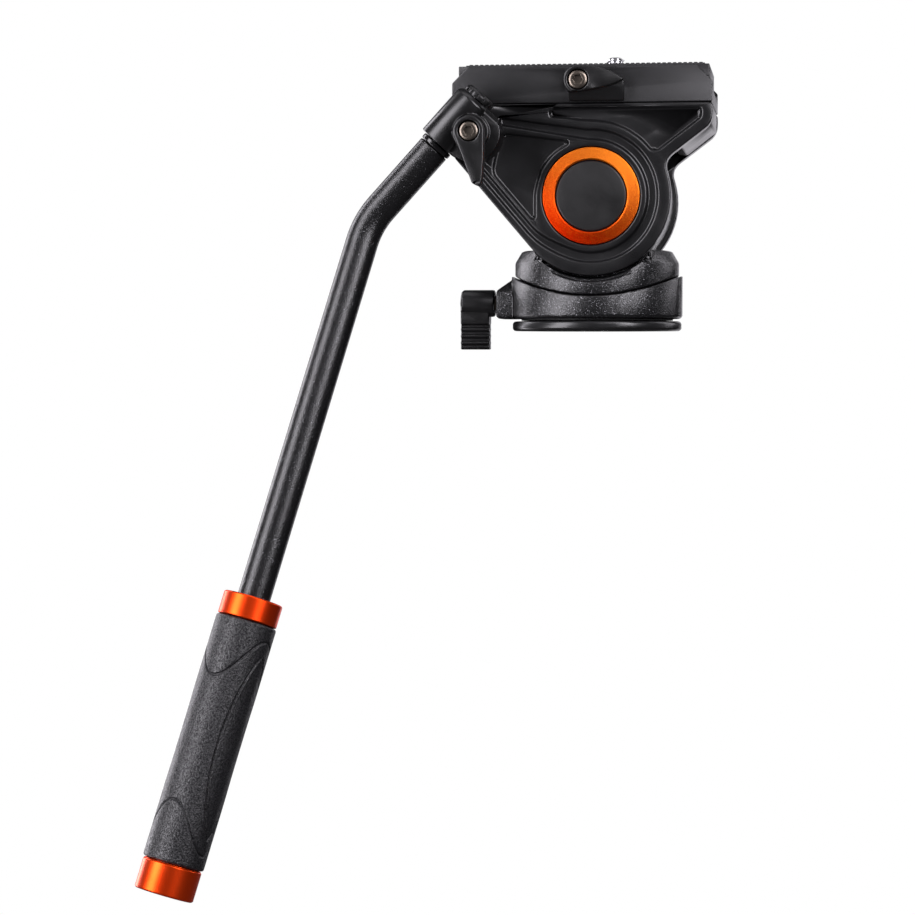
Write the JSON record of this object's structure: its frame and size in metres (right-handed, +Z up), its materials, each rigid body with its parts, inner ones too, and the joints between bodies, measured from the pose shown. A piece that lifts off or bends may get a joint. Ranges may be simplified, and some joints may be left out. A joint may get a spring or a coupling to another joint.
{
  "type": "fluid video head",
  "caption": "Fluid video head with a panning base, a tilting cradle with a sliding quick-release plate, locking levers and a bent pan handle with a rubber grip.",
  "frame": {"origin": "centre of the flat underside of the base, where the tripod's screw enters", "axes": "+X the way the lens points, +Y away from the side that carries the handle, +Z up"},
  "size_m": [0.1892, 0.1315, 0.2884],
  "materials": {
    "satin_black": "cast aluminium with smooth satin black paint",
    "sparkle_black": "aluminium with fine sparkle-textured dark grey paint",
    "orange": "turned aluminium, orange anodised",
    "black_plastic": "black moulded plastic",
    "rubber": "black rubber",
    "steel": "turned bright steel",
    "dark_steel": "darkened steel",
    "bronze": "bearing bronze",
    "acetal": "white acetal"
  },
  "bodies": {
    "base": {"base_disc": "satin_black", "tripod_thread_insert": "steel", "pan_spindle": "steel", "spindle_washer": "steel", "spindle_nut": "steel", "pan_drag_plate": "steel", "pan_thrust_washer": "acetal"},
    "pan_stage": {"pan_housing": "sparkle_black", "pan_collar": "sparkle_black", "pan_bush": "bronze", "pan_damping_ring": "acetal", "right_tilt_bush": "bronze", "left_tilt_bush": "bronze", "right_friction_ring": "acetal", "left_friction_ring": "acetal"},
    "pan_brake": {"pan_brake_pad": "acetal"},
    "pan_knob": {"pan_lock_knob": "black_plastic", "pan_lock_screw": "dark_steel"},
    "cradle": {"right_cheek": "satin_black", "left_cheek": "satin_black", "bridge": "satin_black", "plate_receiver": "satin_black", "tilt_axle": "steel", "right_drag_disc": "steel", "left_drag_disc": "steel", "right_axle_nut": "steel", "left_axle_nut": "steel", "right_tilt_ring": "orange", "left_tilt_ring": "orange", "right_centre_cap": "black_plastic", "left_centre_cap": "black_plastic", "front_tie_stud": "steel", "rear_tie_stud": "steel", "receiver_screw_1": "dark_steel", "receiver_screw_2": "dark_steel", "receiver_screw_3": "dark_steel", "receiver_screw_4": "dark_steel", "handle_rosette": "satin_black"},
    "tilt_brake": {"tilt_brake_pad": "acetal"},
    "tilt_lever": {"tilt_lock_lever": "black_plastic", "tilt_lock_bolt": "dark_steel", "tilt_lock_stud": "steel"},
    "plate": {"quick_release_plate": "satin_black", "plate_pad": "rubber"},
    "screw_slide": {"screw_slider": "acetal"},
    "camera_screw_body": {"camera_screw": "steel"},
    "plate_jaw": {"plate_clamp_jaw": "satin_black"},
    "plate_lever": {"plate_lock_lever": "black_plastic", "plate_lock_bolt": "dark_steel", "plate_lock_stud": "steel"},
    "handle_clamp": {"handle_clamp_lever": "black_plastic", "handle_clamp_bolt": "dark_steel", "handle_clamp_stud": "steel"},
    "handle_joint": {"handle_block": "satin_black"},
    "handle_nut": {"handle_end_nut": "black_plastic"},
    "handle_arm": {"tube_spigot": "steel", "handle_tube": "sparkle_black", "grip_ferrule": "orange", "handle_grip": "rubber", "handle_end_cap": "orange"}
  },
  "joints": [
    {"name": "pan_turn", "type": "hinge", "parent": "base", "child": "pan_stage", "pos_m": [0, 0, 0.015], "axis": [0, 0, 1], "continuous": true},
    {"name": "pan_lock_travel", "type": "slide", "parent": "pan_stage", "child": "pan_brake", "axis": [-1, 0, 0], "range_m": [0, 0.0006]},
    {"name": "pan_lock_turn", "type": "hinge", "parent": "pan_brake", "child": "pan_knob", "pos_m": [-0.036, 0, 0.0099], "axis": [-1, 0, 0], "range_deg": [0, 270]},
    {"name": "tilt", "type": "hinge", "parent": "pan_stage", "child": "cradle", "pos_m": [0, 0, 0.0465], "axis": [0, 1, 0], "range_deg": [-40, 60]},
    {"name": "tilt_lock_travel", "type": "slide", "parent": "cradle", "child": "tilt_brake", "axis": [0, 1, 0], "range_m": [0, 0.0005]},
    {"name": "tilt_lock_turn", "type": "hinge", "parent": "tilt_brake", "child": "tilt_lever", "pos_m": [-0.01584, 0.0288, 0.06234], "axis": [0, 1, 0], "range_deg": [0, 120]},
    {"name": "plate_slide", "type": "slide", "parent": "cradle", "child": "plate", "axis": [1, 0, 0], "range_m": [-0.03, 0.03]},
    {"name": "screw_travel", "type": "slide", "parent": "plate", "child": "screw_slide", "axis": [1, 0, 0], "range_m": [-0.0244, 0.0056]},
    {"name": "camera_screw_turn", "type": "hinge", "parent": "screw_slide", "child": "camera_screw_body", "pos_m": [0.0064, 0, 0.0866], "axis": [0, 0, 1], "continuous": true},
    {"name": "plate_jaw_travel", "type": "slide", "parent": "cradle", "child": "plate_jaw", "axis": [0, -1, 0], "range_m": [0, 0.0006]},
    {"name": "plate_lock_turn", "type": "hinge", "parent": "plate_jaw", "child": "plate_lever", "pos_m": [-0.0042, -0.0278, 0.0861], "axis": [0, -1, 0], "range_deg": [0, 90]},
    {"name": "handle_clamp_turn", "type": "hinge", "parent": "cradle", "child": "handle_clamp", "pos_m": [-0.03985, -0.0454, 0.0675], "axis": [0, -1, 0], "range_deg": [0, 120]},
    {"name": "handle_pivot", "type": "hinge", "parent": "cradle", "child": "handle_joint", "pos_m": [-0.03985, -0.0305, 0.0675], "axis": [0, 1, 0], "range_deg": [-45, 90]},
    {"name": "handle_nut_turn", "type": "hinge", "parent": "handle_joint", "child": "handle_nut", "pos_m": [-0.04481, -0.0376, 0.072], "axis": [0.6724, 0, 0.7402], "range_deg": [0, 180]},
    {"name": "handle_twist", "type": "hinge", "parent": "handle_joint", "child": "handle_arm", "pos_m": [-0.04481, -0.0376, 0.072], "axis": [-0.6724, 0, -0.7402], "range_deg": [-25, 65]}
  ],
  "couplings": [
    {"joint": "pan_lock_turn", "follows": "pan_lock_travel", "rad_per_m": 7853.9},
    {"joint": "tilt_lock_turn", "follows": "tilt_lock_travel", "rad_per_m": 4188.7},
    {"joint": "plate_lock_turn", "follows": "plate_jaw_travel", "rad_per_m": 2617.9}
  ]
}
